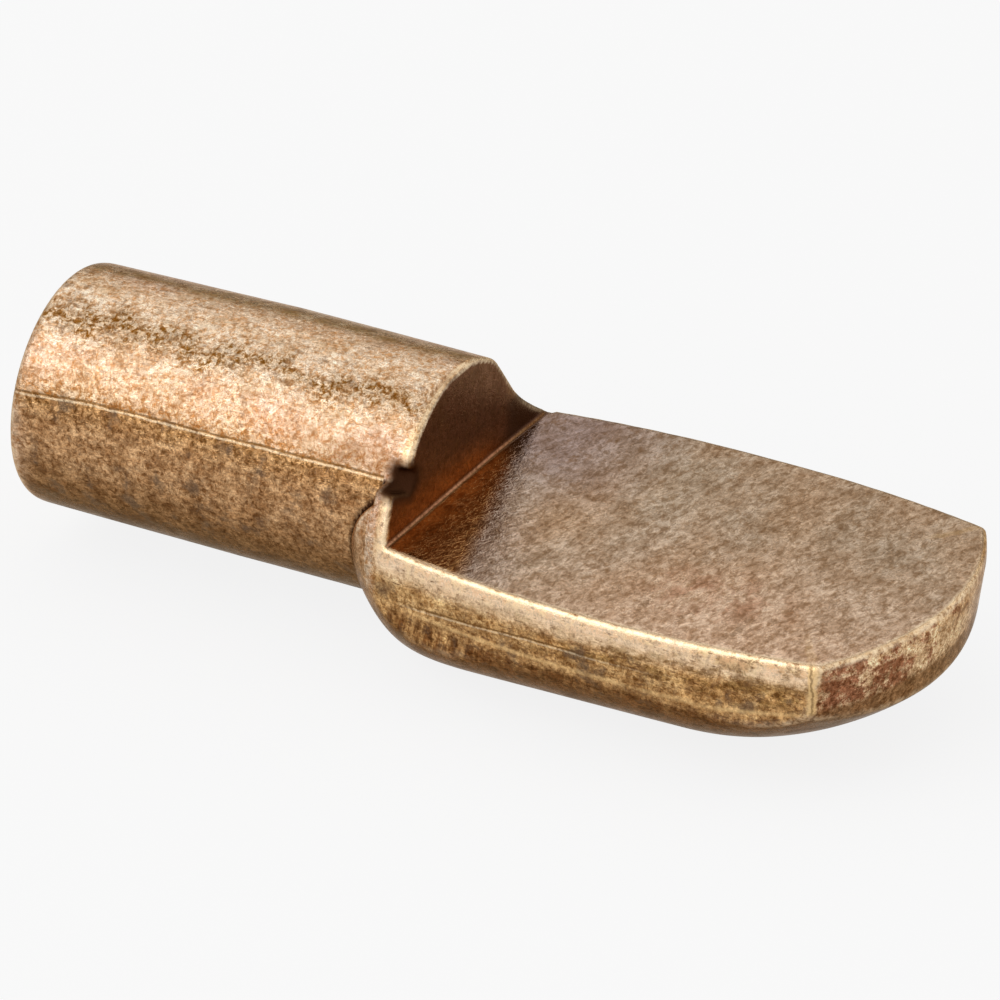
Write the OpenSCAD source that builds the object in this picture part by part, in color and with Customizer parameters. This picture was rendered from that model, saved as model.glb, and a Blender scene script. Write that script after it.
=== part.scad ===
// Spoon shelf support pin, forged in one piece from round brass rod.
//
// The round pin sits in a hole in the cabinet's side, and the flat blade carries the shelf.
// Frame: +X runs from the pin towards the blade's tip and +Z is up. The origin is on the
// pin's axis, where the plain pin meets the back of the flange. All sizes are in millimetres.

/* [Pin] */
// Diameter of the pin, made for a 1/4 inch hole
pin_d = 6.35; // [5:0.05:7.5]
// Length of plain pin, from its free end to the flange
pin_len = 9.8; // [6:0.1:14]
// Radius on the edge of the free end
pin_edge_r = 0.3; // [0.1:0.05:1]

/* [Flange] */
// Distance from the back of the flange to the shoulder wall
flange_t = 1.4; // [1.2:0.05:2.5]
// How far the neck inside the flange swells, from the plain pin to the shoulder wall
neck_swell = 0.05; // [0.02:0.01:0.2]
// Height of the ear above the pin's axis, where the two dies met
ear_z = 1.27; // [0.9:0.01:1.6]
// Radius of the hollow slope that the far ear falls in, down to the seat
sag_r = 1.4; // [1.2:0.05:2]
// Distance from the pin's axis to the foot of that slope
sag_y = 4.45; // [4:0.05:5]
// Radius of the pocket that the metal left unfilled, between the pin and the near ear
pocket_r = 0.6; // [0.3:0.05:0.8]
// Distance from the pin's axis to the middle of the pocket, to the side
pocket_y = 2.45; // [2:0.05:2.8]
// Height of the middle of the pocket above the pin's axis
pocket_z = 1.05; // [0.8:0.05:1.3]

/* [Blade] */
// Length of the blade, from the shoulder wall to the tip
blade_len = 13.5; // [11:0.1:18]
// Greatest width of the blade
blade_w = 9.5; // [8.5:0.1:11]
// Distance from the shoulder wall to the widest place
widest_at = 6.6; // [5:0.1:8]
// Radius of the bowed sides
side_r = 29; // [24:1:40]
// Radius of the rounded tip, seen from above
tip_r = 8.7; // [7:0.1:12]
// Height of the flat seat above the pin's axis
seat_z = 0.1; // [-0.3:0.05:0.5]
// Thickness from the seat to the sole
blade_t = 3.9; // [3.4:0.1:4.4]
// How far the round belly, which is coaxial with the pin, reaches past half the width
belly_margin = 0.25; // [0.1:0.05:0.6]
// Radius of the sole, across the blade and where it rises to the tip
sole_r = 8.3; // [7.5:0.1:11]
// Distance from the tip to where the sole begins to rise
toe_run = 5.3; // [4:0.1:6]

/* [Hidden] */
$fn = 144;
pin_r = pin_d / 2;
tip_x = flange_t + blade_len;
// A length that reaches past the whole part, for the tools that cut it
past = 4 * (pin_len + tip_x);

// The ball at the belly's end meets the pin's surface at the origin's plane
belly_r = blade_w / 2 + belly_margin;
heel_x = sqrt(pow(belly_r, 2) - pow(pin_r, 2));

// The sole is round across the blade, and ends in a ball of the same radius under the toe
toe_x = tip_x - toe_run;
sole_z = seat_z - blade_t + sole_r;

// Half of the pin's section: a rectangle whose outer corner at the free end is an arc
module pin_profile() {
    square([pin_r - pin_edge_r, pin_len]);
    translate([0, pin_edge_r]) square([pin_r, pin_len - pin_edge_r]);
    translate([pin_r - pin_edge_r, pin_edge_r]) circle(pin_edge_r);
}

// The round pin, from its free end to the shoulder wall, with its neck inside the flange
module pin() {
    translate([-pin_len, 0, 0]) rotate([0, 90, 0]) rotate_extrude() pin_profile();
    rotate([0, 90, 0]) cylinder(r1 = pin_r, r2 = pin_r + neck_swell, h = flange_t);
}

// One bowed side of the outline, seen from above
module bowed_side(side) {
    translate([flange_t + widest_at, side * (side_r - blade_w / 2)]) circle(side_r);
}

// The round end of the outline, which leaves everything behind its centre alone
module round_tip() {
    translate([tip_x - tip_r, 0]) circle(tip_r);
    translate([tip_x - tip_r - past, -past / 2]) square(past);
}

// The outline of the flange and blade from above, up to the height of the ears
module outline() {
    translate([0, 0, ear_z - past]) linear_extrude(past) intersection() {
        bowed_side(-1);
        bowed_side(1);
        round_tip();
    }
}

// A rod with one ball end: the ball's centre is the origin, and the rod runs to one side
module ball_ended_rod(r, side) {
    rotate([0, 90, 0]) sphere(r);
    rotate([0, side * 90, 0]) cylinder(r = r, h = past);
}

// The belly swells from the pin in a ball, and stays coaxial with it along the blade
module belly() {
    translate([heel_x, 0, 0]) ball_ended_rod(belly_r, 1);
}

// The flatter sole, which the lower die left under the belly
module sole() {
    translate([toe_x, 0, sole_z]) ball_ended_rod(sole_r, -1);
}

// Flange and blade before the punch comes down: one thick paddle with ears all round
module paddle() {
    intersection() {
        outline();
        belly();
        sole();
    }
}

// What the punch clears: all that stands above the seat, ahead of the shoulder wall
module punch() {
    translate([flange_t, -past / 2, seat_z]) cube(past);
}

// The slope of the far ear, where the metal didn't reach the height of the near one
module far_sag() {
    translate([0, sag_y, seat_z + sag_r]) {
        rotate([0, 90, 0]) cylinder(r = sag_r, h = flange_t + sag_r);
        translate([0, 0, -sag_r]) cube([flange_t + sag_r, past, past]);
    }
}

// The pocket in the shoulder wall, in the corner between the pin and the near ear
module pocket() {
    translate([flange_t, -pocket_y, pocket_z]) sphere(pocket_r);
}

module shelf_pin() {
    color("#8c6a40") difference() {
        union() {
            pin();
            difference() {
                paddle();
                far_sag();
            }
        }
        punch();
        pocket();
    }
}

shelf_pin();
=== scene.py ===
# %% [markdown]
# # A forged brass shelf pin
# A spoon shelf pin is one piece of round brass rod. Two dies squeeze one end of the rod into a
# flat blade, and a punch then clears its top so that a shelf can lie on it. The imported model
# gives the frame: the main sizes below come from its box, and the others are written here in
# millimetres.

# %% Load the frame
import math
import bpy
from mathutils import Matrix, Vector


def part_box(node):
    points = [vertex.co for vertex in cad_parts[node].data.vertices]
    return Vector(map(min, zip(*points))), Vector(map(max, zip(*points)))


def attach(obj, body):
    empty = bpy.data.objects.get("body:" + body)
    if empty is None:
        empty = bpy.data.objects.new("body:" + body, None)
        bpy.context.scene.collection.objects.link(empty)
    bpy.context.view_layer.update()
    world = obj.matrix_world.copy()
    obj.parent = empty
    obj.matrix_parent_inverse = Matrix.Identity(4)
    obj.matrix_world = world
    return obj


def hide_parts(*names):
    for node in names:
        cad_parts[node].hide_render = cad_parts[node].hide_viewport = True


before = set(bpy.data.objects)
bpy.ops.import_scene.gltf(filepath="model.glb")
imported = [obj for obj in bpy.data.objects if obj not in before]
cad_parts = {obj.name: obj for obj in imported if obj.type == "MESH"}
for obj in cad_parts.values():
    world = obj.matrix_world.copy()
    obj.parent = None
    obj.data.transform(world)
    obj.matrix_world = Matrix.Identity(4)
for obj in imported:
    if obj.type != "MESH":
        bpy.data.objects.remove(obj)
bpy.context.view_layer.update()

MM = 0.001
low, high = (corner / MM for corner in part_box("shelf_pin"))
print("the solid reaches from", [round(v, 2) for v in low], "to", [round(v, 2) for v in high])

# %% [markdown]
# ## The camera
# The camera comes first, so that every later choice is judged through it. A small part is
# pictured from far off with a long lens, which keeps its parallel edges parallel. The camera
# stands on the tip's side, a little above, and is turned slightly about its own axis.

# %% Place the camera
AZIMUTH, ELEVATION, ROLL = (math.radians(angle) for angle in (30.299, 28.098, -0.37))
DISTANCE = 742.9
back = Vector((math.sin(AZIMUTH) * math.cos(ELEVATION),
               -math.cos(AZIMUTH) * math.cos(ELEVATION),
               math.sin(ELEVATION)))
level = Matrix.Rotation(AZIMUTH, 4, "Z") @ Matrix.Rotation(math.pi / 2 - ELEVATION, 4, "X")
turned = level @ Matrix.Rotation(ROLL, 4, "Z")
right, up = turned.col[0].xyz, turned.col[1].xyz
SHOULDER, TO_RIGHT, UPWARDS = Vector((1.57, 0, 0)), 0.836, -0.392
aim = SHOULDER + TO_RIGHT * right + UPWARDS * up

camera = bpy.data.objects.new("camera", bpy.data.cameras.new("camera"))
camera.data.sensor_width = 36
camera.data.lens = 1080
camera.data.clip_start, camera.data.clip_end = 0.01, 10
camera.matrix_world = Matrix.Translation((aim + back * DISTANCE) * MM) @ turned
bpy.context.collection.objects.link(camera)
bpy.context.scene.camera = camera
print("camera looks along", [round(v, 3) for v in -back])

# %% [markdown]
# ## One helper for every node tree
# Both the shape and the finish are node trees. One small function adds a node, gives it its
# settings and feeds its inputs in order. A node given as an input stands for its first output.

# %% Add a node
def add(tree, kind, *inputs, **settings):
    node = tree.nodes.new(kind)
    for name, value in settings.items():
        setattr(node, name, value)
    for socket, value in zip([s for s in node.inputs if s.enabled], inputs):
        if isinstance(value, bpy.types.Node):
            value = next(s for s in value.outputs if s.enabled)
        if isinstance(value, bpy.types.NodeSocket):
            tree.links.new(value, socket)
        elif value is not None:
            socket.default_value = value
    return node


MATH, VECTOR = "ShaderNodeMath", "ShaderNodeVectorMath"
NOISE, RANGE, BLEND = "ShaderNodeTexNoise", "ShaderNodeMapRange", "ShaderNodeMix"
XYZ, SPLIT = "ShaderNodeCombineXYZ", "ShaderNodeSeparateXYZ"

# %% [markdown]
# ## The forging as a rule
# A forging has no sharp edges: the metal flows, and every ridge and root is a little round. The
# shape could be modelled as a cage with a Subdivision Surface, but its edges would wander. Here
# it is a distance field instead: a rule that says, for any point, how far it lies outside the
# metal. The larger of two distances is what two shapes share, the smaller is both together, and
# the smooth versions of these round the edge between them. The sizes are the rule's inputs.

# %% Sizes of the forging, in millimetres
SIZES = {
    "pin radius": 3.175, "pin end": low.x - 0.07, "pin end edge": 0.5, "pin taper": 0.03,
    "pin droop": 0.06,
    "side radius": 31, "half width": high.y - 0.03, "widest at": 8.0, "far fullness": 0.27,
    "tip radius": 7.6, "tip": high.x + 0.34, "end draft": 0.16, "corner": 0.16,
    "ridge height": -0.9, "ridge fall": 0.07, "ridge falls from": 6.0, "side bulge": 0.16,
    "ridge softness": 0.3,
    "belly radius": 5.0, "heel": 3.863, "back axis": 2.5, "back radius": 2.39, "back edge": 0.35,
    "back axis depth": 0.95, "back upright from": 1.86,
    "sole radius": 8.3, "sole axis": low.z + 8.23, "toe": 9.75, "keel slope": -0.0125,
    "belly to sole": 0.95, "foot edge": 0.15,
    "wall": 1.49, "wall skew": -0.027, "wall lean": -0.02, "wall turn at": 1.5, "wall turn": 0.03,
    "seat": 0.1, "rim": 0.2, "root": 0.09,
    "ear top": 1.33, "far slope": 10.0, "far flat": 3.0, "neck": 0.12,
    "pocket": 0.3, "pocket slope": 0.66, "pocket depth": 0.38, "unevenness": 0.012,
}
rule = bpy.data.node_groups.new("distance outside the forging", "GeometryNodeTree")
rule.interface.new_socket("Place", in_out="INPUT", socket_type="NodeSocketVector")
for name, value in SIZES.items():
    socket = rule.interface.new_socket(name, in_out="INPUT", socket_type="NodeSocketFloat")
    socket.default_value = value
rule.interface.new_socket("Distance", in_out="OUTPUT", socket_type="NodeSocketFloat")
rule.interface.new_socket("From pocket", in_out="OUTPUT", socket_type="NodeSocketFloat")
size = add(rule, "NodeGroupInput").outputs
x, y, z = add(rule, SPLIT, size["Place"]).outputs
print(len(SIZES), "sizes")

# %% [markdown]
# ### The round pin
# The pin is the rod as it was bought, hardly touched by the dies. It is a little thinner and
# lower towards its free end, which was sheared a little out of square and tumbled round.

# %% Pin
thinning = add(rule, RANGE, x, -4.0, size["pin end"], 0.0, size["pin taper"])
thinner = add(rule, MATH, thinning, size["pin radius"], operation="MULTIPLY")
radius_here = add(rule, MATH, size["pin radius"], thinner, operation="SUBTRACT")
droop = add(rule, RANGE, x, -4.0, size["pin end"], 0.0, size["pin droop"])
pin_z = add(rule, MATH, z, droop, operation="ADD")
from_axis = add(rule, VECTOR, add(rule, XYZ, 0.0, y, pin_z), operation="LENGTH")
rod = add(rule, MATH, from_axis.outputs["Value"], radius_here, operation="SUBTRACT")
free_end = add(rule, MATH, size["pin end"], x, operation="SUBTRACT")
free_end = add(rule, MATH, z, 0.02, free_end, operation="MULTIPLY_ADD")
pin = add(rule, MATH, rod, free_end, size["pin end edge"], operation="SMOOTH_MAX")
pin_front = add(rule, MATH, x, 2.5, operation="SUBTRACT")
pin = add(rule, MATH, pin, pin_front, operation="MAXIMUM")
print("pin", round(2 * SIZES["pin radius"], 2), "mm thick")

# %% [markdown]
# ### The blade's outline
# From above, each side is one long arc and the tip is another. The metal flowed further on the
# far side of the neck. The end draws in a little from just under its rim downwards.

# %% Outline from above
fuller = add(rule, RANGE, x, 1.5, 7.5, size["far fullness"], 0.08)
far_half = add(rule, MATH, y, 0.0, operation="GREATER_THAN")
aside = add(rule, MATH, y, operation="ABSOLUTE")
aside = add(rule, MATH, aside, add(rule, MATH, far_half, fuller, operation="MULTIPLY"),
            operation="SUBTRACT")
side_x = add(rule, MATH, x, size["widest at"], operation="SUBTRACT")
side_gap = add(rule, MATH, size["side radius"], size["half width"], operation="SUBTRACT")
side_y = add(rule, MATH, aside, side_gap, operation="ADD")
side_at = add(rule, VECTOR, add(rule, XYZ, side_x, side_y), operation="LENGTH")
side = add(rule, MATH, side_at.outputs["Value"], size["side radius"], operation="SUBTRACT")
tip_axis = add(rule, MATH, size["tip"], size["tip radius"], operation="SUBTRACT")
tip_x = add(rule, MATH, x, tip_axis, operation="SUBTRACT")
tip_x = add(rule, MATH, tip_x, 0.0, operation="MAXIMUM")
tip_at = add(rule, VECTOR, add(rule, XYZ, tip_x, y), operation="LENGTH")
tip = add(rule, MATH, tip_at.outputs["Value"], size["tip radius"], operation="SUBTRACT")
under_rim = add(rule, MATH, add(rule, MATH, -0.3, z, operation="SUBTRACT"), 0.0,
                operation="MAXIMUM")
tip = add(rule, MATH, under_rim, size["end draft"], tip, operation="MULTIPLY_ADD")
print("blade", round(2 * SIZES["half width"], 2), "mm wide")

# %% [markdown]
# ### The flank and its ridge
# The two dies met along a ridge on the flank. Above it the flank bulges outwards and below it
# draws in, so that the part could leave the die. The ridge falls a little towards the neck.

# %% Flank
to_neck = add(rule, MATH, size["ridge falls from"], x, operation="SUBTRACT")
to_neck = add(rule, MATH, to_neck, 0.0, operation="MAXIMUM")
fall = add(rule, MATH, to_neck, size["ridge fall"], operation="MULTIPLY")
ridge = add(rule, MATH, size["ridge height"], fall, operation="SUBTRACT")
above = add(rule, MATH, z, ridge, operation="SUBTRACT")
full_height = add(rule, MATH, size["seat"], ridge, operation="SUBTRACT")
share = add(rule, MATH, above, full_height, operation="DIVIDE")
bulge = add(rule, MATH, share, share, operation="MULTIPLY")
bulge = add(rule, MATH, bulge, size["side bulge"], operation="MULTIPLY")
bulge = add(rule, MATH, bulge, add(rule, MATH, above, 0.0, operation="GREATER_THAN"),
            operation="MULTIPLY")
draw_in = add(rule, MATH, above, -0.1, operation="MULTIPLY")
draft = add(rule, MATH, bulge, draw_in, size["ridge softness"], operation="SMOOTH_MAX")
draft = add(rule, MATH, draft, size["side bulge"], operation="SUBTRACT")
side = add(rule, MATH, side, draft, operation="ADD")
outline = add(rule, MATH, side, tip, size["corner"], operation="SMOOTH_MAX")
print("ridge at", SIZES["ridge height"], "mm")

# %% [markdown]
# ### The belly and the sole
# The lower die left a round belly in line with the pin. A second, wider rod shape makes the sole,
# which rises in a ball towards the tip like the bowl of a spoon.

# %% Belly and sole
belly_x = add(rule, MATH, add(rule, MATH, x, size["heel"], operation="SUBTRACT"), 0.0,
              operation="MINIMUM")
belly_at = add(rule, VECTOR, add(rule, XYZ, belly_x, y, z), operation="LENGTH")
belly = add(rule, MATH, belly_at.outputs["Value"], size["belly radius"], operation="SUBTRACT")
sole_x = add(rule, MATH, add(rule, MATH, x, size["toe"], operation="SUBTRACT"), 0.0,
             operation="MAXIMUM")
slope = add(rule, MATH, add(rule, MATH, x, 6.0, operation="SUBTRACT"), size["keel slope"],
            operation="MULTIPLY")
sole_z = add(rule, MATH, z, size["sole axis"], operation="SUBTRACT")
sole_z = add(rule, MATH, sole_z, slope, operation="ADD")
sole_at = add(rule, VECTOR, add(rule, XYZ, sole_x, y, sole_z), operation="LENGTH")
sole = add(rule, MATH, sole_at.outputs["Value"], size["sole radius"], operation="SUBTRACT")
under = add(rule, MATH, belly, sole, size["belly to sole"], operation="SMOOTH_MAX")
print("sole", SIZES["sole radius"], "mm in radius")

# %% [markdown]
# ### The back of the ears
# Where the blade begins, the hot metal bulged back towards the pin. The back is part of a drum
# that lies across the part, upright where it meets the top of the ears.

# %% Back
back_x = add(rule, MATH, add(rule, MATH, x, size["back axis"], operation="SUBTRACT"), 0.0,
             operation="MINIMUM")
back_z = add(rule, MATH, z, size["back axis depth"], operation="ADD")
back_z = add(rule, "ShaderNodeClamp", back_z, 0.0, size["back upright from"])
back_at = add(rule, VECTOR, add(rule, XYZ, back_x, 0.0, back_z), operation="LENGTH")
back_face = add(rule, MATH, back_at.outputs["Value"], size["back radius"], operation="SUBTRACT")
under = add(rule, MATH, under, back_face, size["back edge"], operation="SMOOTH_MAX")
print("back drum", SIZES["back radius"], "mm in radius")

# %% [markdown]
# ### The ears and the blade
# The blade is what the outline, the underside and the height of the ears share. The far ear fell
# short of the die and slopes down in a slight hollow, and the pin's far side is flattened there.

# %% Ears
SLOPE_AXIS, FLAT_FACES = (0, 9.76, 8.41), (0, 0.819, 0.574)
ear_top = add(rule, MATH, z, size["ear top"], operation="SUBTRACT")
hollow_at = add(rule, VECTOR, add(rule, XYZ, 0.0, y, z), SLOPE_AXIS, operation="DISTANCE")
hollow = add(rule, MATH, size["far slope"], hollow_at.outputs["Value"], operation="SUBTRACT")
in_front = add(rule, MATH, add(rule, MATH, x, 1.6, operation="SUBTRACT"), 0.0,
               operation="MAXIMUM")
hollow = add(rule, MATH, in_front, -3.0, hollow, operation="MULTIPLY_ADD")
ears = add(rule, MATH, ear_top, hollow, 0.2, operation="SMOOTH_MAX")
flat_at = add(rule, VECTOR, size["Place"], FLAT_FACES, operation="DOT_PRODUCT")
flat_end = add(rule, MATH, add(rule, MATH, 1.0, x, operation="SUBTRACT"), 0.0,
               operation="MAXIMUM")
flat = add(rule, MATH, flat_end, -0.25, flat_at.outputs["Value"], operation="MULTIPLY_ADD")
flat = add(rule, MATH, flat, size["far flat"], operation="SUBTRACT")
pin = add(rule, MATH, pin, flat, 0.1, operation="SMOOTH_MAX")
blade = add(rule, MATH, outline, under, size["foot edge"], operation="SMOOTH_MAX")
blade = add(rule, MATH, blade, ears, size["foot edge"], operation="SMOOTH_MAX")
forging = add(rule, MATH, pin, blade, size["neck"], operation="SMOOTH_MIN")
print("ears", SIZES["ear top"] - SIZES["seat"], "mm above the seat")

# %% [markdown]
# ### The seat and the shoulder wall
# The punch leaves two flats at a right angle: the seat for the shelf and the wall that the shelf
# touches. It was set a little askew, so the wall is not quite square to the pin. The wall leans
# back by a degree, so that the punch could be drawn out, and comes forward at its far end.

# %% Seat and wall
wall = add(rule, MATH, y, size["wall skew"], size["wall"], operation="MULTIPLY_ADD")
wall = add(rule, MATH, z, size["wall lean"], wall, operation="MULTIPLY_ADD")
outwards = add(rule, MATH, y, size["wall turn at"], operation="SUBTRACT")
outwards = add(rule, MATH, outwards, 0.0, operation="MAXIMUM")
wall = add(rule, MATH, outwards, size["wall turn"], wall, operation="MULTIPLY_ADD")
ahead = add(rule, MATH, x, wall, operation="SUBTRACT")
over = add(rule, MATH, z, size["seat"], operation="SUBTRACT")
punch = add(rule, MATH, ahead, over, size["root"], operation="SMOOTH_MIN")
forging = add(rule, MATH, forging, punch, size["rim"], operation="SMOOTH_MAX")
print("seat at", SIZES["seat"], "mm, wall at", SIZES["wall"], "mm")

# %% [markdown]
# ### The pocket beside the near ear
# Between the pin and the near ear the metal left a pocket unfilled. Seen from the front it is a
# short slanting slot. It is deepest at its top, under the pin's skin, and runs out inwards.

# %% Pocket
OUTER_END, INNER_END = Vector((0, -3.6, 1.68)), Vector((0, -2.62, 1.27))
run = INNER_END - OUTER_END
flat_place = add(rule, VECTOR, size["Place"], (0, 1, 1), operation="MULTIPLY")
place_in = add(rule, VECTOR, flat_place, OUTER_END, operation="SUBTRACT")
along = add(rule, VECTOR, place_in, run / run.length_squared, operation="DOT_PRODUCT")
along = add(rule, "ShaderNodeClamp", along.outputs["Value"], 0.0, 1.0)
nearest = add(rule, VECTOR, run, along, operation="SCALE")
pocket_at = add(rule, VECTOR, place_in, nearest, operation="DISTANCE")
mouth = add(rule, MATH, pocket_at.outputs["Value"], size["pocket"], operation="SUBTRACT")
upper = add(rule, MATH, z, 0.85, operation="SUBTRACT")
depth = add(rule, MATH, upper, size["pocket slope"], operation="MULTIPLY")
depth = add(rule, MATH, depth, size["pocket depth"], 0.2, operation="SMOOTH_MIN")
inwards = add(rule, MATH, add(rule, MATH, y, 2.75, operation="ADD"), 0.0, operation="MAXIMUM")
depth = add(rule, MATH, inwards, -0.7, depth, operation="MULTIPLY_ADD")
bottom = add(rule, MATH, wall, depth, operation="SUBTRACT")
behind = add(rule, MATH, bottom, x, operation="SUBTRACT")
pocket = add(rule, MATH, mouth, behind, 0.2, operation="SMOOTH_MAX")
filled = add(rule, MATH, pocket, -1.0, operation="MULTIPLY")
forging = add(rule, MATH, forging, filled, 0.08, operation="SMOOTH_MAX")
print("pocket", round(run.length, 2), "mm long")

# %% [markdown]
# ### Not quite even
# No forged face is flat to a hundredth of a millimetre, so a slow noise moves the skin a little.

# %% Unevenness
wander = add(rule, NOISE, size["Place"], 0.4, 2.0)
wander = add(rule, MATH, wander, 0.5, operation="SUBTRACT")
forging = add(rule, MATH, wander, size["unevenness"], forging, operation="MULTIPLY_ADD")
add(rule, "NodeGroupOutput", forging, pocket)
print(len(rule.nodes), "nodes in the rule")

# %% [markdown]
# ## From the rule to a mesh
# Volume Cube measures the rule on a fine grid and Volume to Mesh wraps a skin where it crosses
# zero. The tree has the same named sizes as the rule and passes them on.

# %% Grid and skin
GRID = 0.088
build = bpy.data.node_groups.new("shelf pin forging", "GeometryNodeTree")
build.is_modifier = True
build.interface.new_socket("Geometry", in_out="INPUT", socket_type="NodeSocketGeometry")
for name, value in SIZES.items():
    socket = build.interface.new_socket(name, in_out="INPUT", socket_type="NodeSocketFloat")
    socket.default_value = value
build.interface.new_socket("Material", in_out="INPUT", socket_type="NodeSocketMaterial")
build.interface.new_socket("Geometry", in_out="OUTPUT", socket_type="NodeSocketGeometry")
given = add(build, "NodeGroupInput").outputs
lengths = [given[name] for name in SIZES]
position = add(build, "GeometryNodeInputPosition")
place = add(build, VECTOR, position, 1 / MM, operation="SCALE")
here = add(build, "GeometryNodeGroup", place, *lengths, node_tree=rule)
inside = add(build, MATH, here, -1.0, operation="MULTIPLY")
margin = Vector((0.4, 0.4, 0.4))
start, stop = low - margin, high + margin
steps = [math.ceil((b - a) / GRID) for a, b in zip(start, stop)]
grid = add(build, "GeometryNodeVolumeCube", inside, -1.0, start * MM, stop * MM, *steps)
skin = add(build, "GeometryNodeVolumeToMesh", grid, 0.0, resolution_mode="GRID")
print("grid of", steps)

# %% [markdown]
# ### Settle the skin on the rule
# The grid leaves small steps. Each point of the skin is moved along the rule's slope onto the
# true surface, smoothed among its neighbours and moved onto it again.

# %% Settle
STEP = 0.01
for smoothing in (3, 3, 0):
    slopes = []
    for axis in range(3):
        offset = Vector((0, 0, 0))
        offset[axis] = STEP
        beside = add(build, VECTOR, place, offset, operation="ADD")
        there = add(build, "GeometryNodeGroup", beside, *lengths, node_tree=rule)
        slopes.append(add(build, MATH, there, here, operation="SUBTRACT"))
    slope = add(build, XYZ, *slopes)
    steep = add(build, VECTOR, slope, slope, operation="DOT_PRODUCT")
    move = add(build, MATH, here, steep.outputs["Value"], operation="DIVIDE")
    move = add(build, MATH, move, -STEP * MM, operation="MULTIPLY")
    shift = add(build, VECTOR, slope, move, operation="SCALE")
    skin = add(build, "GeometryNodeSetPosition", skin, None, None, shift)
    if smoothing:
        soft = add(build, "GeometryNodeBlurAttribute", position, smoothing,
                   data_type="FLOAT_VECTOR")
        skin = add(build, "GeometryNodeSetPosition", skin, None, soft)
print(len(build.nodes), "nodes settle the skin")

# %% [markdown]
# ### Where the metal is rubbed and where it is hidden
# Tumbling rubs the dark patina off every edge and leaves it in every root. The tree measures this
# on the mesh: a point that stands out from its smoothed neighbours is on an edge, and one that
# lies under them is in a root. Both are stored as attributes, with the pocket and the way that
# each point faces, and the finish reads them.

# %% Edges, roots and the pocket
# The edge measure feeds both the worn edges and the painted highlights on them.
normal = add(build, "GeometryNodeInputNormal")
STORE = "GeometryNodeStoreNamedAttribute"
for name, spread, least, most in (("edge", 2, 0.0025, 0.011), ("shoulder", 30, 0.01, 0.09),
                                  ("root", 6, -0.006, -0.03)):
    soft = add(build, "GeometryNodeBlurAttribute", position, spread, data_type="FLOAT_VECTOR")
    gap = add(build, VECTOR, position, soft, operation="SUBTRACT")
    proud = add(build, VECTOR, gap, normal, operation="DOT_PRODUCT")
    amount = add(build, RANGE, proud.outputs["Value"], least * MM, most * MM)
    skin = add(build, STORE, skin, None, name, amount, data_type="FLOAT", domain="POINT")
in_pocket = add(build, RANGE, here.outputs["From pocket"], 0.36, 0.04)
skin = add(build, STORE, skin, None, "pocket", in_pocket, data_type="FLOAT", domain="POINT")
skin = add(build, STORE, skin, None, "facing", normal, data_type="FLOAT_VECTOR",
           domain="POINT")
skin = add(build, "GeometryNodeSetShadeSmooth", skin)
skin = add(build, "GeometryNodeRealizeInstances", skin)
skin = add(build, "GeometryNodeSetMaterial", skin, None, given["Material"])
add(build, "NodeGroupOutput", skin)
print(len(build.nodes), "nodes make the skin")

# %% [markdown]
# ## Colours
# Colours are written as sRGB hex values, as a paint chart gives them. Shaders calculate in linear
# light, so one function turns them.

# %% Hex to linear
def linear(code):
    channels = [int(code[i:i + 2], 16) / 255 for i in (0, 2, 4)]
    return [c / 12.92 if c <= 0.04045 else ((c + 0.055) / 1.055) ** 2.4 for c in channels] + [1]


print("a middle grey is", round(linear("808080")[0], 3))

# %% [markdown]
# ## Antique brass, tumbled
# Antique brass is brass whose surface was darkened by a chemical patina and then tumbled with
# small stones. What the eye gets is a warm mottled brown, scratched in short fibres of every
# direction, with pale gold on the edges and almost black roots. Every pattern is worked out in
# millimetres from Object coordinates, so it stays with the metal.

# %% What the finish reads
brass = bpy.data.materials.new("antique brass, patinated and tumbled")
brass.use_nodes = True
paint = brass.node_tree
paint.nodes.clear()
where = add(paint, "ShaderNodeTexCoord")
mm = add(paint, VECTOR, where.outputs["Object"], 1 / MM, operation="SCALE")
mm_x, mm_y, mm_z = add(paint, SPLIT, mm).outputs
edge, shoulder, root, in_pocket = (
    add(paint, "ShaderNodeAttribute", attribute_name=name).outputs["Fac"]
    for name in ("edge", "shoulder", "root", "pocket"))
facing = add(paint, "ShaderNodeAttribute", attribute_name="facing").outputs["Vector"]
face_x, face_y, face_z = add(paint, SPLIT, facing).outputs
print("coordinates in millimetres")

# %% [markdown]
# ### Which face is which
# The dies and the punch left each face with its own tone. A face is told by the way it looks and
# by where it lies along the part.

# %% Masks of the faces
on_pin = add(paint, RANGE, mm_x, 1.5, 1.2)
on_blade = add(paint, RANGE, mm_x, 1.2, 1.4)
on_seat = add(paint, MATH, add(paint, RANGE, face_z, 0.85, 0.97), on_blade,
              operation="MULTIPLY")
forward = add(paint, RANGE, face_x, 0.7, 0.85)
on_end = add(paint, MATH, forward, add(paint, RANGE, mm_x, 9.0, 11.0), operation="MULTIPLY")
on_wall = add(paint, MATH, forward, add(paint, RANGE, mm_x, 4.0, 3.0), operation="MULTIPLY")
sideways = add(paint, RANGE, add(paint, MATH, face_y, operation="ABSOLUTE"), 0.6, 0.8)
on_flank = add(paint, MATH, sideways, on_blade, operation="MULTIPLY")
flat_face = add(paint, MATH, on_seat, on_end, operation="MAXIMUM")
round_pin = add(paint, MATH, mm_z, add(paint, MATH, mm_y, -1.0, operation="MULTIPLY"),
                operation="ARCTAN2")
print("pin, seat, end, wall and flank")

# %% [markdown]
# ### Patches, mottles and specks
# The patina came off in patches of a few millimetres, mottles of about one and specks of a few
# tenths. On the seat the punch drew them out across the part, to about twice their width.

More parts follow.
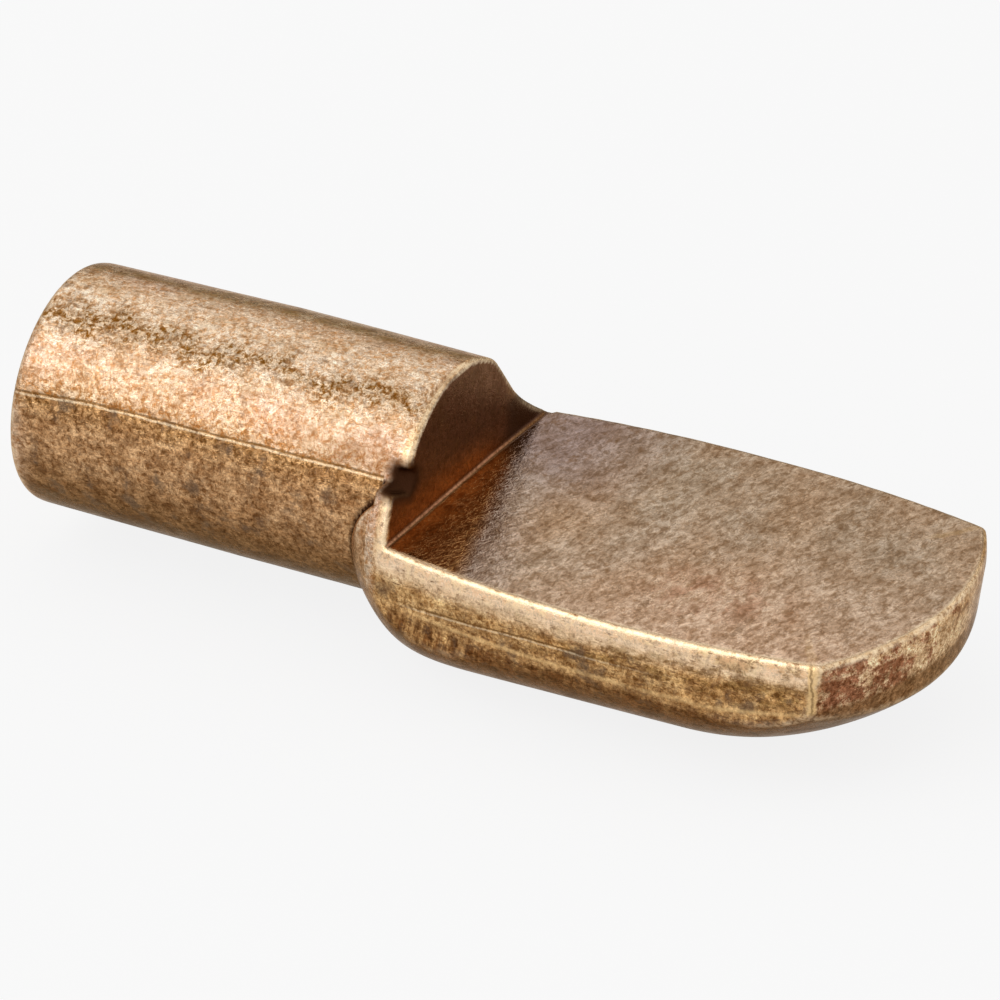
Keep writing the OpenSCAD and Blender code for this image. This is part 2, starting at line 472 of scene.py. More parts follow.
# %% Cloudy patterns
drawn_out = add(paint, VECTOR, mm, (1.0, 0.55, 1.0), operation="MULTIPLY")
laid = add(paint, BLEND, on_seat, mm, drawn_out, data_type="VECTOR")
blotch = add(paint, RANGE, add(paint, NOISE, laid, 0.35, 3.0), 0.40, 0.62)
mottle = add(paint, RANGE, add(paint, NOISE, laid, 1.7, 7.0, 0.72), 0.36, 0.60)
specks = add(paint, RANGE, add(paint, NOISE, laid, 6.5, 4.0, 0.75, 2.0, 0.5), 0.38, 0.58)
stains = add(paint, RANGE, add(paint, NOISE, laid, 1.35, 4.0, 0.65), 0.55, 0.66)
pits = add(paint, RANGE, add(paint, NOISE, laid, 2.6, 6.0, 0.78), 0.55, 0.64)
grain = add(paint, NOISE, laid, 16.0, 3.0, 0.6)
print("patches 3 mm, stains and mottles 0.7 mm, specks 0.15 mm")

# %% [markdown]
# ### Scratches
# The tumbling stones scratch in every direction. Their lines are 0.01 mm wide on the metal, and
# are drawn up to 0.05 mm wide so that they show. Straight fibres are stretched noise. Curved
# hairs are the contour lines of a twisted noise. The marks of the dies run along the part.

# %% Fibres, hairs and die marks
fibres = None
for angle, tilt in ((0.3, 0.2), (1.0, -0.5), (1.75, 0.6), (2.5, -0.2)):
    spun = add(paint, "ShaderNodeMapping", laid, None, (tilt, tilt, angle))
    drawn = add(paint, VECTOR, spun, (2.6, 19.0, 19.0), operation="MULTIPLY")
    lines = add(paint, RANGE, add(paint, NOISE, drawn, 1.0, 1.0), 0.56, 0.72)
    fibres = lines if fibres is None else add(paint, MATH, fibres, lines, operation="MAXIMUM")
hairs = None
for fineness in (1.9, 3.1):
    field = add(paint, NOISE, laid, fineness, 1.5, 0.5, 2.0, 1.4)
    away = add(paint, MATH, add(paint, MATH, field, 0.5, operation="SUBTRACT"),
               operation="ABSOLUTE")
    lines = add(paint, RANGE, away, 0.022, 0.008)
    hairs = lines if hairs is None else add(paint, MATH, hairs, lines, operation="MAXIMUM")
broken = add(paint, RANGE, add(paint, NOISE, laid, 2.3, 2.0), 0.48, 0.56)
hairs = add(paint, MATH, hairs, broken, operation="MULTIPLY")
drawn = add(paint, VECTOR, mm, (0.8, 7.0, 7.0), operation="MULTIPLY")
die_marks = add(paint, RANGE, add(paint, NOISE, drawn, 1.0, 4.0, 0.6), 0.40, 0.60)
die_marks = add(paint, MATH, die_marks, flat_face, operation="MAXIMUM")
drawn = add(paint, VECTOR, mm, (2.2, 13.0, 13.0), operation="MULTIPLY")
nicks = add(paint, RANGE, add(paint, NOISE, drawn, 1.0, 3.0, 0.6), 0.60, 0.68)
print("fibres 0.4 mm long, hairs, die marks and nicks")

# %% [markdown]
# ### Lines where the dies met
# A thin flash line runs along the pin and on along the ridge of the flank, dark with a painted
# highlight under it. A slow noise makes it waver as a hand-cleaned flash line does.

# %% Flash lines
SEAM_AT_EARS, SEAM_FALL, SEAM_BEND_FROM, SEAM_BEND = 1.355, 0.0145, -6.0, -0.014
wavy = add(paint, MATH, add(paint, NOISE, mm, 0.9, 5.0, 0.7), 0.5, operation="SUBTRACT")
line_z = add(paint, MATH, wavy, 0.12, mm_z, operation="MULTIPLY_ADD")
back_from = add(paint, MATH, SIZES["ridge falls from"], mm_x, operation="SUBTRACT")
back_from = add(paint, MATH, back_from, 0.0, operation="MAXIMUM")
ridge_z = add(paint, MATH, back_from, -SIZES["ridge fall"], SIZES["ridge height"],
              operation="MULTIPLY_ADD")
on_rod = add(paint, RANGE, mm_x, 1.0, 0.9)
rod_z = add(paint, MATH, mm_x, SEAM_FALL, SEAM_AT_EARS, operation="MULTIPLY_ADD")
past_middle = add(paint, MATH, SEAM_BEND_FROM, mm_x, operation="SUBTRACT")
past_middle = add(paint, MATH, past_middle, 0.0, operation="MAXIMUM")
bend = add(paint, MATH, past_middle, past_middle, operation="MULTIPLY")
rod_z = add(paint, MATH, bend, SEAM_BEND, rod_z, operation="MULTIPLY_ADD")
seam_z = add(paint, BLEND, on_rod, ridge_z, rod_z, data_type="FLOAT")
off_seam = add(paint, MATH, line_z, seam_z, operation="SUBTRACT")
seam = add(paint, RANGE, add(paint, MATH, off_seam, operation="ABSOLUTE"), 0.04, 0.01)
# A painted highlight just under the flash line.
below_line = add(paint, MATH, add(paint, MATH, off_seam, 0.065, operation="ADD"),
                 operation="ABSOLUTE")
painted_highlight_under_seam = add(paint, RANGE, below_line, 0.04, 0.01)
there = add(paint, MATH, add(paint, RANGE, mm_x, 10.0, 7.0),
            add(paint, RANGE, mm_x, 2.0, 2.8), operation="MULTIPLY")
there = add(paint, MATH, there, on_rod, operation="MAXIMUM")
for limit in (sideways, add(paint, RANGE, specks, 0.0, 0.6, 0.35, 1.0)):
    there = add(paint, MATH, there, limit, operation="MULTIPLY")
seam, painted_highlight_under_seam = (add(paint, MATH, line, there, operation="MULTIPLY")
                    for line in (seam, painted_highlight_under_seam))
print("flash line at z =", SEAM_AT_EARS, "mm on the pin by the ears")

# %% [markdown]
# ### Lines down the corners and round the foot
# Where flank and end meet, a fold in the metal leaves a wavering dark line between two painted
# highlights. At the foot of the flank, a painted highlight parts it from the darker belly, whose
# darkness is partly painted shade where it faces down.

# %% Corner and foot lines
FOOT_HEIGHT, FOOT_FALL, FOOT_RISES_FROM, FOOT_RISE = -1.30, -0.022, 11.2, 0.13
folded = add(paint, XYZ, mm_x, add(paint, MATH, mm_y, operation="ABSOLUTE"))
side_axis = SIZES["half width"] + SIZES["side bulge"] - SIZES["side radius"]
to_side = add(paint, VECTOR, folded, (SIZES["widest at"], side_axis, 0), operation="DISTANCE")
tip_axis = SIZES["tip"] - SIZES["tip radius"]
to_tip = add(paint, VECTOR, folded, (tip_axis, 0, 0), operation="DISTANCE")
past = add(paint, MATH, to_side.outputs["Value"], to_tip.outputs["Value"], operation="SUBTRACT")
past = add(paint, MATH, past, SIZES["tip radius"] - SIZES["side radius"], operation="ADD")
past = add(paint, MATH, wavy, 0.5, past, operation="MULTIPLY_ADD")
past = add(paint, MATH, past, operation="ABSOLUTE")
foot_z = add(paint, MATH, mm_x, FOOT_FALL, FOOT_HEIGHT, operation="MULTIPLY_ADD")
to_end = add(paint, MATH, mm_x, FOOT_RISES_FROM, operation="SUBTRACT")
to_end = add(paint, MATH, to_end, 0.0, operation="MAXIMUM")
foot_z = add(paint, MATH, to_end, FOOT_RISE, foot_z, operation="MULTIPLY_ADD")
above_foot = add(paint, MATH, line_z, foot_z, operation="SUBTRACT")
at_corner = add(paint, RANGE, mm_x, 12.8, 13.2)
for limits in ((mm_z, 0.12, 0.02), (above_foot, -0.05, 0.05)):
    at_corner = add(paint, MATH, at_corner, add(paint, RANGE, *limits), operation="MULTIPLY")
# The corner's dark line, and painted highlights on the ridges beside it.
corner_dark, painted_highlight_corner = (
    add(paint, MATH, add(paint, RANGE, past, outer, inner), at_corner, operation="MULTIPLY")
    for outer, inner in ((0.04, 0.01), (0.12, 0.06)))
# A painted highlight along the foot line.
at_foot = add(paint, MATH, above_foot, operation="ABSOLUTE")
painted_highlight_foot_line = add(paint, RANGE, at_foot, 0.09, 0.02)
for limits in ((mottle, 0.0, 1.0, 0.25, 1.0), (mm_x, 2.2, 3.2), (mm_x, 13.8, 13.2)):
    painted_highlight_foot_line = add(paint, MATH, painted_highlight_foot_line, add(paint, RANGE, *limits), operation="MULTIPLY")
print("corner and foot lines")

# %% [markdown]
# ### The root of the shoulder
# A thin coppery line is painted where the wall meets the seat: a painted highlight in its rounded
# root.

# %% Root line
wall_mm = add(paint, MATH, mm_y, SIZES["wall skew"], SIZES["wall"], operation="MULTIPLY_ADD")
outwards = add(paint, MATH, mm_y, SIZES["wall turn at"], operation="SUBTRACT")
outwards = add(paint, MATH, outwards, 0.0, operation="MAXIMUM")
wall_mm = add(paint, MATH, outwards, SIZES["wall turn"], wall_mm, operation="MULTIPLY_ADD")
from_wall = add(paint, MATH, mm_x, wall_mm, operation="SUBTRACT")
over_seat = add(paint, MATH, mm_z, SIZES["seat"], operation="SUBTRACT")
from_root = add(paint, XYZ, from_wall, 0.0, over_seat)
from_root = add(paint, VECTOR, from_root, (0.03, 0.0, 0.03), operation="DISTANCE")
in_root = add(paint, RANGE, from_root.outputs["Value"], 0.12, 0.06, 0.0, 0.75)
# A painted highlight along the rounded root between wall and seat.
painted_root_highlight = add(paint, RANGE, from_root.outputs["Value"], 0.04, 0.015)
for limits in ((mm_y, 2.8, 1.6), (specks, 0.0, 0.7, 0.3, 1.0)):
    painted_root_highlight = add(paint, MATH, painted_root_highlight, add(paint, RANGE, *limits), operation="MULTIPLY")
print("root line 0.05 mm wide")

# %% [markdown]
# ### The tone of each face
# The pin's upper side is pale, partly rubbed and partly painted light, and its lower side brown,
# with painted shade where faces turn downwards. The seat is greyer, paler towards its near edge,
# with a painted wedge of shade along the shoulder and painted light just past it. The end is brown
# near the corner and paler further round, with painted shade towards its bottom. The wall is dark
# brown, partly patina and partly painted shade.

# %% Pin and flank
# Above the flash line the pin is painted pale: partly rubbed patina, partly painted light on its
# upper side.
above_line = add(paint, RANGE, off_seam, -0.02, 0.02)
rubbed_and_painted_light = add(paint, MATH, above_line, on_pin, operation="MULTIPLY")
rubbed_and_painted_light = add(paint, MATH, rubbed_and_painted_light, shoulder, operation="MAXIMUM")
up_flank = add(paint, MATH, add(paint, RANGE, off_seam, 0.0, 0.7), on_blade,
               operation="MULTIPLY")
rubbed_and_painted_light = add(paint, MATH, rubbed_and_painted_light, up_flank, operation="MAXIMUM")
# Faces that turn downwards are painted darker brown, and the lowest sides darker still: painted
# shade.
painted_shade_facing_down = add(paint, RANGE, face_z, 0.0, -0.6)
brown = add(paint, BLEND, painted_shade_facing_down, linear("dab082"), linear("85603c"), data_type="RGBA")
painted_shade_lowest_side = add(paint, RANGE, face_z, -0.55, -0.78)
brown = add(paint, BLEND, painted_shade_lowest_side, brown, linear("66431f"), data_type="RGBA")
pale = add(paint, BLEND, blotch, linear("d3c0a9"), linear("d1b6a3"), data_type="RGBA")
tone = add(paint, BLEND, rubbed_and_painted_light, brown, pale, data_type="RGBA")
golden = add(paint, BLEND, blotch, linear("eec890"), linear("e4b87e"), data_type="RGBA")
golden = add(paint, BLEND, painted_shade_facing_down, golden, linear("85592f"), data_type="RGBA")
tone = add(paint, BLEND, on_blade, tone, golden, data_type="RGBA")
by_line = add(paint, RANGE, add(paint, MATH, off_seam, operation="ABSOLUTE"), 0.8, 0.15)
for limit in (on_rod, add(paint, RANGE, specks, 0.0, 1.0, 0.9, 0.35)):
    by_line = add(paint, MATH, by_line, limit, operation="MULTIPLY")
# A painted highlight where the pin's near upper side faces up, and a darker olive streak just past
# its top.
top = streak = on_pin
for limits in ((face_z, 0.70, 0.84), (face_y, 0.2, -0.2)):
    top = add(paint, MATH, top, add(paint, RANGE, *limits), operation="MULTIPLY")
for limits in ((round_pin, 1.66, 1.76), (round_pin, 1.98, 1.88), (mottle, 1.0, 0.2, 0.35, 0.9)):
    streak = add(paint, MATH, streak, add(paint, RANGE, *limits), operation="MULTIPLY")
for mask, code in ((by_line, "a07a44"), (top, "ecdac4"), (streak, "a48a5c")):
    tone = add(paint, BLEND, mask, tone, linear(code), data_type="RGBA")
print("pin and flank toned")

# %% Flank and belly
# A painted highlight over the upper flank, under its rim.
painted_highlight_upper_flank = add(paint, MATH, add(paint, RANGE, mm_z, -0.75, -0.28), on_flank,
                operation="MULTIPLY")
tone = add(paint, BLEND, painted_highlight_upper_flank, tone, linear("ffe8ca"), data_type="RGBA")
drawn = add(paint, VECTOR, mm, (0.55, 1.0, 1.7), operation="MULTIPLY")
olive = add(paint, RANGE, add(paint, NOISE, drawn, 1.7, 7.0, 0.72), 0.49, 0.57)
off_rim = add(paint, MATH, add(paint, RANGE, mm_z, -0.15, -0.5),
              add(paint, RANGE, mm_x, 8.5, 11.0), operation="MAXIMUM")
for limit in (add(paint, RANGE, mm_x, 5.0, 9.0, 0.3, 0.75), on_flank, off_rim):
    olive = add(paint, MATH, olive, limit, operation="MULTIPLY")
tone = add(paint, BLEND, olive, tone, linear("9c7640"), data_type="RGBA")
on_belly = add(paint, MATH, add(paint, RANGE, above_foot, 0.02, -0.06), on_blade,
               operation="MULTIPLY")
turn = add(paint, MATH, mm_z, add(paint, MATH, mm_y, operation="ABSOLUTE"), operation="ARCTAN2")
drawn = add(paint, XYZ, add(paint, MATH, turn, -1.2, mm_x, operation="MULTIPLY_ADD"), turn)
drawn = add(paint, VECTOR, drawn, (4.2, 3.2, 1.0), operation="MULTIPLY")
strokes = add(paint, RANGE, add(paint, NOISE, drawn, 1.0, 3.0, 0.65), 0.46, 0.62)
belly_tone = add(paint, BLEND, strokes, linear("94683e"), linear("f6ca8c"), data_type="RGBA")
belly_tone = add(paint, BLEND, painted_shade_facing_down, belly_tone, linear("7c5230"), data_type="RGBA")
tone = add(paint, BLEND, on_belly, tone, belly_tone, data_type="RGBA")
# A painted highlight in a band along the foot of the flank.
painted_highlight_by_foot = add(paint, RANGE, at_foot, 0.32, 0.05, 0.0, 0.7)
painted_highlight_by_foot = add(paint, MATH, painted_highlight_by_foot, on_flank, operation="MULTIPLY")
tone = add(paint, BLEND, painted_highlight_by_foot, tone, linear("ecc48c"), data_type="RGBA")
print("flank and belly streaked")

# %% Seat
seat_tone = add(paint, BLEND, blotch, linear("b9a895"), linear("bda288"), data_type="RGBA")
CLOUD = (10.0, -3.6, 0.1)
WEDGE_CLOSES, WEDGE_SPREAD, WEDGE_LEAST = 2.2, 0.3, 0.3
squeezed = add(paint, VECTOR, mm, (1.0, 1.6, 1.0), operation="MULTIPLY")
cloud_at = add(paint, VECTOR, squeezed, CLOUD, operation="DISTANCE").outputs["Value"]
# A painted wedge of shade along the shoulder, and painted light just past it.
shoulder_shade_wedge = add(paint, MATH, WEDGE_CLOSES, mm_y, operation="SUBTRACT")
shoulder_shade_wedge = add(paint, MATH, shoulder_shade_wedge, WEDGE_SPREAD, WEDGE_LEAST, operation="MULTIPLY_ADD")
shoulder_shade_wedge = add(paint, MATH, shoulder_shade_wedge, from_wall, operation="SUBTRACT")
shoulder_shade_wedge = add(paint, MATH, wavy, 0.5, shoulder_shade_wedge, operation="MULTIPLY_ADD")
for one_way, other_way, code in (
        ((mm_x, 6.0, 3.0), (mm_y, -0.5, 1.5), "a08e8a"),  # the far corner
        ((mm_y, 1.5, -4.0), (mm_x, 3.0, 10.0), "d9bca3"),  # the near side
        ((cloud_at, 2.6, 0.6, 0.0, 0.5), (mottle, 0.8, 0.2), "c8957e"),  # a reddish cloud
        ((shoulder_shade_wedge, -1.8, -0.2, 0.0, 0.8), (mm_y, 2.5, 0.5), "c8b8ac"),  # pale past the wedge
        ((shoulder_shade_wedge, -0.22, 0.18), (mm_y, 2.6, 1.6), "c89a66")):  # the wedge
    mask = add(paint, MATH, add(paint, RANGE, *one_way), add(paint, RANGE, *other_way),
               operation="MULTIPLY")
    seat_tone = add(paint, BLEND, mask, seat_tone, linear(code), data_type="RGBA")
tone = add(paint, BLEND, on_seat, tone, seat_tone, data_type="RGBA")
print("seat toned")

# %% End and wall
patch = add(paint, NOISE, mm, 1.3, 8.0, 0.8)
patch = add(paint, MATH, patch, add(paint, RANGE, mm_y, -3.9, 0.5, -0.05, 0.06),
            operation="ADD")
patch = add(paint, RANGE, patch, 0.47, 0.54)
end_tone = add(paint, BLEND, patch, linear("a26e50"), linear("ffe0b6"), data_type="RGBA")
farther = add(paint, RANGE, mm_y, 0.8, 2.2)
end_tone = add(paint, BLEND, farther, end_tone, linear("d2b498"), data_type="RGBA")
# The end is painted darker towards its bottom: painted shade.
painted_shade_low_end = add(paint, RANGE, mm_z, -1.1, -1.3, 0.0, 0.95)
end_tone = add(paint, BLEND, painted_shade_low_end, end_tone, linear("96704c"), data_type="RGBA")
tone = add(paint, BLEND, on_end, tone, end_tone, data_type="RGBA")
# The wall is painted dark brown, partly patina and partly painted shade, lighter and coppery low in
# its middle.
coppery = add(paint, MATH, add(paint, RANGE, mm_z, 1.1, 0.15),
              add(paint, RANGE, mm_y, 2.2, 0.8), operation="MULTIPLY")
wall_tone = add(paint, BLEND, coppery, linear("6e4c3c"), linear("a8714c"), data_type="RGBA")
tone = add(paint, BLEND, on_wall, tone, wall_tone, data_type="RGBA")
print("end and wall toned")

# %% [markdown]
# ### The olive band and the scuff
# High on the pin runs a darker olive band about 1 mm wide, and just above the flash line, next
# to the ear, something scuffed the pin grey.

# %% Band and scuff
off_band = add(paint, MATH, wavy, 0.9, round_pin, operation="MULTIPLY_ADD")
off_band = add(paint, MATH, add(paint, MATH, off_band, 1.06, operation="SUBTRACT"),
               operation="ABSOLUTE")
band = on_pin
for limits in ((off_band, 0.19, 0.02), (specks, 0.9, 0.3, 0.3, 1.0)):
    band = add(paint, MATH, band, add(paint, RANGE, *limits), operation="MULTIPLY")
tone = add(paint, BLEND, band, tone, linear("96702c"), data_type="RGBA")
scuff = add(paint, RANGE, fibres, 0.1, 0.6, 0.15, 0.8)
for limits in ((mm_x, -2.0, -0.6), (mm_x, 1.2, 0.7), (round_pin, 0.42, 0.48),
               (round_pin, 0.86, 0.6)):
    scuff = add(paint, MATH, scuff, add(paint, RANGE, *limits), operation="MULTIPLY")
tone = add(paint, BLEND, scuff, tone, linear("9a8474"), data_type="RGBA")
print("band and scuff")

# %% [markdown]
# ### Lay the patterns over the tones
# Dark patterns multiply the tone, each by its own brown: deep where the patina stayed, light on the
# rubbed and painted-light upper side and greyer on the seat. Fibres and hairs let bright metal
# through. Then come the dark roots, a darker patch at the wall's far end that is partly patina and
# partly painted shade, the worn edges with painted highlights, the painted highlight lines and the
# pocket's painted shade.

# %% Dark patterns
calm = add(paint, MATH, on_wall, -0.4, 1.0, operation="MULTIPLY_ADD")
calm = add(paint, MATH, painted_highlight_upper_flank, -0.5, calm, operation="MULTIPLY_ADD")
mild = add(paint, MATH, add(paint, MATH, on_blade, -0.75, 1.0, operation="MULTIPLY_ADD"), rubbed_and_painted_light,
           operation="MULTIPLY")
for pattern, warm, worn, grey, strength in (
        (mottle, "a8937c", "e0d2be", "cfc0b2", 0.85), (specks, "8f7656", "cda67a", "b4a290", 0.9),
        (die_marks, "ddcebc", "e6dacb", "ddcebc", 0.6)):
    amount = add(paint, RANGE, pattern, 1.0, 0.0, 0.0, strength)
    amount = add(paint, MATH, amount, calm, operation="MULTIPLY")
    shade = add(paint, BLEND, mild, linear(warm), linear(worn), data_type="RGBA")
    shade = add(paint, BLEND, on_seat, shade, linear(grey), data_type="RGBA")
    tone = add(paint, BLEND, amount, tone, shade, data_type="RGBA", blend_type="MULTIPLY")
stained = add(paint, RANGE, rubbed_and_painted_light, 0.0, 1.0, 0.75, 0.12)
stained = add(paint, MATH, stains, stained, operation="MULTIPLY")
stained = add(paint, MATH, stained, add(paint, MATH, 1.0, flat_face, operation="SUBTRACT"),
              operation="MULTIPLY")
tone = add(paint, BLEND, stained, tone, linear("64503f"), data_type="RGBA")
dented = add(paint, MATH, pits, 0.6, operation="MULTIPLY")
off_flats = add(paint, MATH, add(paint, MATH, on_flank, 0.35, 0.5, operation="MULTIPLY_ADD"),
                flat_face, operation="SUBTRACT")
off_flats = add(paint, MATH, off_flats, 0.0, operation="MAXIMUM")
nicked = add(paint, MATH, nicks, off_flats, operation="MULTIPLY")
dented = add(paint, MATH, dented, nicked, operation="MAXIMUM")
tone = add(paint, BLEND, dented, tone, linear("6a4a30"), data_type="RGBA")
print("mottles, specks, die marks, pits and nicks")

# %% Bright scratches
scored = add(paint, MATH, fibres, add(paint, MATH, hairs, 0.8, operation="MULTIPLY"),
             operation="MAXIMUM")
scored = add(paint, MATH, scored, calm, operation="MULTIPLY")
lift = add(paint, MATH, on_seat, -0.3, 1.6, operation="MULTIPLY_ADD")
lifted = add(paint, VECTOR, tone, lift, operation="SCALE")
tone = add(paint, BLEND, scored, tone, lifted, data_type="RGBA")
print("fibres and hairs")

# %% Roots
low_root = add(paint, MATH, on_blade, add(paint, RANGE, mm_z, 0.7, 0.5), operation="MULTIPLY")
hidden = add(paint, RANGE, low_root, 1.0, 0.0, 0.0, root)
hidden = add(paint, MATH, hidden, add(paint, RANGE, in_pocket, 0.7, 0.2), operation="MULTIPLY")
far_side = add(paint, MATH, add(paint, RANGE, mm_y, 1.0, 3.2), on_blade, operation="MULTIPLY")
# A darker patch low on the far end of the wall, by the far ear: partly patina, partly painted
# shade.
far_wall_patina_and_shade = add(paint, RANGE, mm_y, 2.1, 2.5)
for limits in ((mm_z, 0.1, 0.2), (mm_z, 1.3, 1.1), (mm_x, 1.9, 1.7), (mm_x, 0.9, 1.1)):
    far_wall_patina_and_shade = add(paint, MATH, far_wall_patina_and_shade, add(paint, RANGE, *limits), operation="MULTIPLY")
for mask, code in ((in_root, "4c2a1a"), (hidden, "2c150c"), (far_wall_patina_and_shade, "4a3228")):
    tone = add(paint, BLEND, mask, tone, linear(code), data_type="RGBA")
print("roots darkened")

# %% Edges, lines and pocket
# Worn edges: partly rubbed metal, partly painted highlight. They are painted weaker high on the
# part and on the far side, and the painted highlight under the flash line joins them.
worn_edges_and_highlights = add(paint, BLEND, add(paint, RANGE, mm_z, 0.3, 0.6), edge,
             add(paint, RANGE, edge, 0.55, 1.1), data_type="FLOAT")
fading = add(paint, MATH, far_side, -0.7, 1.0, operation="MULTIPLY_ADD")
worn_edges_and_highlights = add(paint, MATH, worn_edges_and_highlights, fading, operation="MULTIPLY")
for limits in ((in_pocket, 1.0, 0.0), (mottle, 0.0, 0.8, 0.15, 0.9), (specks, 0.0, 0.7, 0.35, 1.0)):
    worn_edges_and_highlights = add(paint, MATH, worn_edges_and_highlights, add(paint, RANGE, *limits), operation="MULTIPLY")
# A painted highlight in a broad band under the flank's rim.
painted_highlight_rim = on_flank
for limits in ((mm_z, -0.6, -0.1, 0.0, 0.8), (specks, 0.15, 1.0)):
    painted_highlight_rim = add(paint, MATH, painted_highlight_rim, add(paint, RANGE, *limits), operation="MULTIPLY")
worn_edges_and_highlights = add(paint, MATH, worn_edges_and_highlights, add(paint, MATH, painted_highlight_under_seam, 0.5, operation="MULTIPLY"),
             operation="MAXIMUM")
rim_highlight_tone = add(paint, BLEND, add(paint, RANGE, mottle, 0.2, 0.9), linear("ffdfac"),
               linear("eebb8c"), data_type="RGBA")
tone = add(paint, BLEND, painted_highlight_rim, tone, rim_highlight_tone, data_type="RGBA")
# Painted highlights on the corner ridges and along the foot of the flank.
lines = add(paint, MATH, add(paint, MATH, painted_highlight_corner, 0.7, operation="MULTIPLY"),
            add(paint, MATH, painted_highlight_foot_line, 0.55, operation="MULTIPLY"), operation="MAXIMUM")
painted_root_highlight = add(paint, MATH, painted_root_highlight, 0.45, operation="MULTIPLY")
dark_line = add(paint, MATH, add(paint, MATH, seam, 0.7, operation="MULTIPLY"),
                add(paint, MATH, corner_dark, 0.6, operation="MULTIPLY"), operation="MAXIMUM")
# The pocket is painted almost black: painted shade in the recess.
for mask, code in ((worn_edges_and_highlights, "f4dcb8"), (lines, "f4cc90"), (painted_root_highlight, "c48468"),
                   (dark_line, "563812"), (in_pocket, "3e2415")):
    tone = add(paint, BLEND, mask, tone, linear(code), data_type="RGBA")
print("edges, lines and pocket")

# %% [markdown]
# ### Gloss and relief
# Rubbed spots are smoother than patinated ones. The seat, struck flat by the punch, is the
# smoothest. A little relief follows the specks and scratches. At a grazing angle the patina
# stays warm, so the tint there is warm too. The metal keeps the default IOR.

# %% Shader
rough = add(paint, RANGE, mottle, 0.0, 1.0, 0.34, 0.22)
rough = add(paint, MATH, on_seat, -0.08, rough, operation="MULTIPLY_ADD")
burnished = add(paint, MATH, add(paint, RANGE, from_wall, 3.5, 1.5), on_seat,
                operation="MULTIPLY")
rough = add(paint, MATH, burnished, -0.06, rough, operation="MULTIPLY_ADD")
relief = add(paint, MATH, specks, 0.6, operation="MULTIPLY")
relief = add(paint, MATH, grain, 0.3, relief, operation="MULTIPLY_ADD")
relief = add(paint, MATH, relief, scored, operation="SUBTRACT")
relief = add(paint, MATH, dark_line, -0.8, relief, operation="MULTIPLY_ADD")
bump = add(paint, "ShaderNodeBump")
bump.inputs["Strength"].default_value = 0.6
bump.inputs["Distance"].default_value = 0.006 * MM
paint.links.new(relief.outputs[0], bump.inputs["Height"])
rough = add(paint, MATH, in_pocket, 0.25, rough, operation="MULTIPLY_ADD")
metal = add(paint, "ShaderNodeBsdfPrincipled")
metal.inputs["Metallic"].default_value = 1.0
metal.inputs["Specular Tint"].default_value = linear("e8d8c4")
for name, node in (("Base Color", tone), ("Roughness", rough), ("Normal", bump)):
    paint.links.new(next(s for s in node.outputs if s.enabled), metal.inputs[name])
add(paint, "ShaderNodeOutputMaterial", metal)
print(len(paint.nodes), "nodes in the finish")

# %% [markdown]
# ## Forge the pin
# The modifier's inputs are set by each socket's identifier. The evaluated result is copied to a
# plain mesh, because the finished part carries no modifier, and it takes the solid's place.

# %% Bake
work = bpy.data.objects.new("forging work", bpy.data.meshes.new("forging work"))
bpy.context.collection.objects.link(work)
maker = work.modifiers.new("forge", "NODES")
maker.node_group = build
for socket in build.interface.items_tree:
    if socket.name in SIZES:
        maker[socket.identifier] = float(SIZES[socket.name])
    elif socket.name == "Material":
        maker[socket.identifier] = brass
depsgraph = bpy.context.evaluated_depsgraph_get()
mesh = bpy.data.meshes.new_from_object(work.evaluated_get(depsgraph))
work.modifiers.remove(maker)
bpy.data.objects.remove(work)
forged = bpy.data.objects.new("forged_pin", mesh)
bpy.context.collection.objects.link(forged)
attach(forged, "root")
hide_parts("shelf_pin")
print(len(mesh.polygons), "faces,", sum(len(p.vertices) - 2 for p in mesh.polygons), "triangles")

# %% [markdown]
# ## Floor
# The part lies on a plain pale floor. Its white comes from the floor's own colour to the camera,
# so that no extra light falls on the metal, and it keeps the part's soft shadow.

# %% Floor
lowest = min(v.co.z for v in mesh.vertices)
floor_mesh = bpy.data.meshes.new("floor")
reach = 2.0
corners = [(-reach, -reach, lowest), (reach, -reach, lowest), (reach, reach, lowest),
           (-reach, reach, lowest)]
floor_mesh.from_pydata(corners, [], [(0, 1, 2, 3)])
floor = bpy.data.objects.new("floor", floor_mesh)
bpy.context.collection.objects.link(floor)
paper = bpy.data.materials.new("pale paper floor")
paper.use_nodes = True
sheet = paper.node_tree
sheet.nodes.clear()
rays = add(sheet, "ShaderNodeLightPath").outputs
mirrored = add(sheet, MATH, rays["Is Glossy Ray"], rays["Is Transmission Ray"],
               operation="MAXIMUM")
mirrored = add(sheet, MATH, mirrored, 0.6, operation="MULTIPLY")
share = add(sheet, MATH, rays["Is Camera Ray"], 0.85, mirrored, operation="MULTIPLY_ADD")
lit = add(sheet, "ShaderNodeBsdfDiffuse", linear("e6e6e6"))
glow = add(sheet, "ShaderNodeEmission", linear("ffffff"), 1.0)
add(sheet, "ShaderNodeOutputMaterial", add(sheet, "ShaderNodeMixShader", share, lit, glow))
floor_mesh.materials.append(paper)
print("floor at", round(lowest / MM, 2), "mm")

# %% [markdown]
# ## World
# The world is a plain white room. What the camera and the metal see of it is full white, and what
# it sheds on the part is softer.

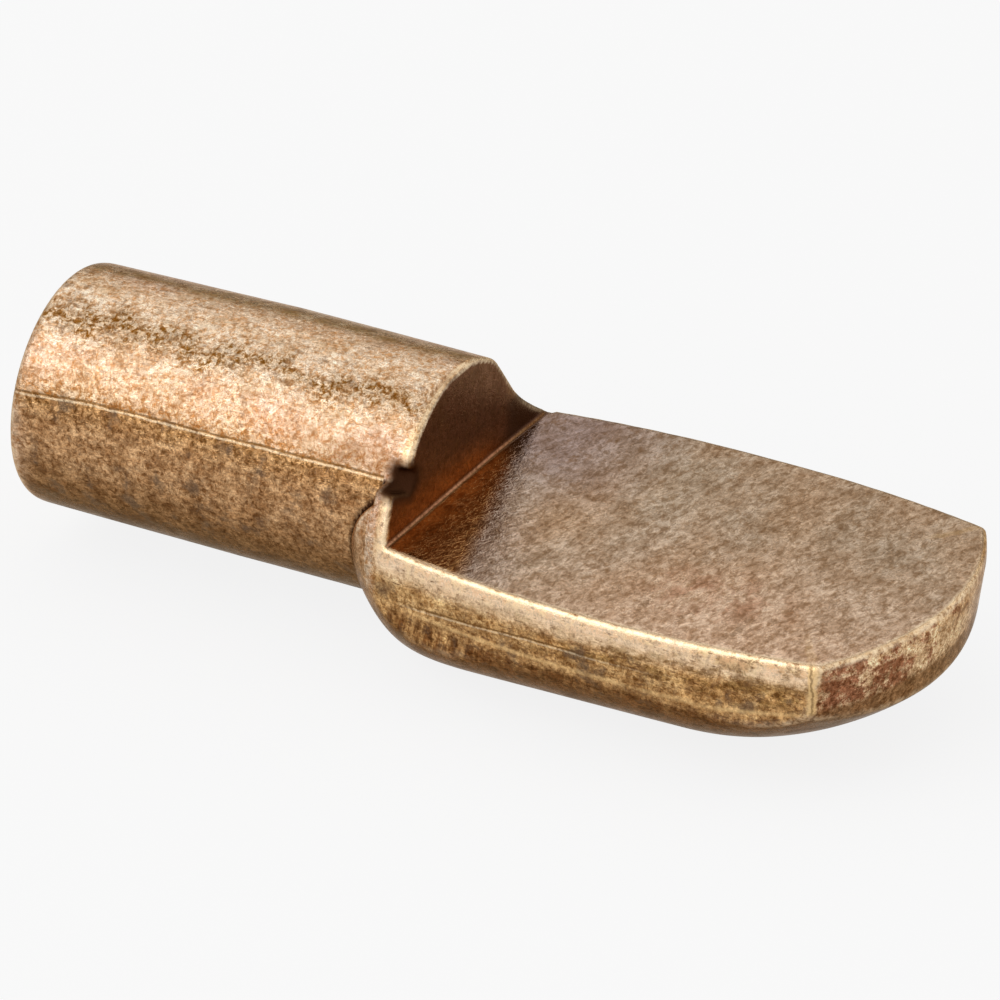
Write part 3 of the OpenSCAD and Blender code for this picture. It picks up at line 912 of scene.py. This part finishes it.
# %% World
world = bpy.data.worlds.new("studio")
world.use_nodes = True
bpy.context.scene.world = world
sky = world.node_tree
sky.nodes.clear()
rays = add(sky, "ShaderNodeLightPath").outputs
seen = add(sky, MATH, rays["Is Camera Ray"], rays["Is Glossy Ray"], operation="MAXIMUM")
seen = add(sky, MATH, seen, rays["Is Transmission Ray"], operation="MAXIMUM")
soft = add(sky, "ShaderNodeBackground", linear("ffffff"), 0.65)
white = add(sky, "ShaderNodeBackground", linear("ffffff"), 1.0)
add(sky, "ShaderNodeOutputWorld", add(sky, "ShaderNodeMixShader", seen, soft, white))
print("white room")

# %% [markdown]
# ## A soft box and a dark card
# Metal shows what stands around it. One large soft box in front, to the left and a little above,
# makes the bright band on the pin. A dark card low behind draws the pin's upper outline.

# %% Soft box
LAMP_DISTANCE = 0.4
KEY = Vector((-0.445, -0.695, 0.594)).normalized()
lamp = bpy.data.lights.new("soft box", "AREA")
lamp.shape = "RECTANGLE"
lamp.size, lamp.size_y = 0.36, 0.34
lamp.energy = 1.2 * math.pi * lamp.size * lamp.size_y
stand = bpy.data.objects.new("soft box", lamp)
facing_part = KEY.to_track_quat("Z", "Y").to_matrix().to_4x4()
stand.matrix_world = Matrix.Translation(KEY * LAMP_DISTANCE) @ facing_part
bpy.context.collection.objects.link(stand)
print("soft box", round(lamp.energy, 3), "W")

# %% Dark card
card_mesh = bpy.data.meshes.new("dark card")
card_mesh.from_pydata([(-0.5, 0.36, -0.02), (0.1, 0.36, -0.02), (0.1, 0.36, 0.08),
                       (-0.5, 0.36, 0.08)], [], [(0, 1, 2, 3)])
card = bpy.data.objects.new("dark_card", card_mesh)
bpy.context.collection.objects.link(card)
card.visible_camera = card.visible_diffuse = card.visible_shadow = False
board = bpy.data.materials.new("black card")
board.use_nodes = True
board.node_tree.nodes["Principled BSDF"].inputs["Base Color"].default_value = linear("241a12")
card_mesh.materials.append(board)
print("dark card behind")

# %% [markdown]
# ## Last settings
# Standard view transform shows each colour as it was written.

# %% Look
bpy.context.scene.view_settings.view_transform = "Standard"
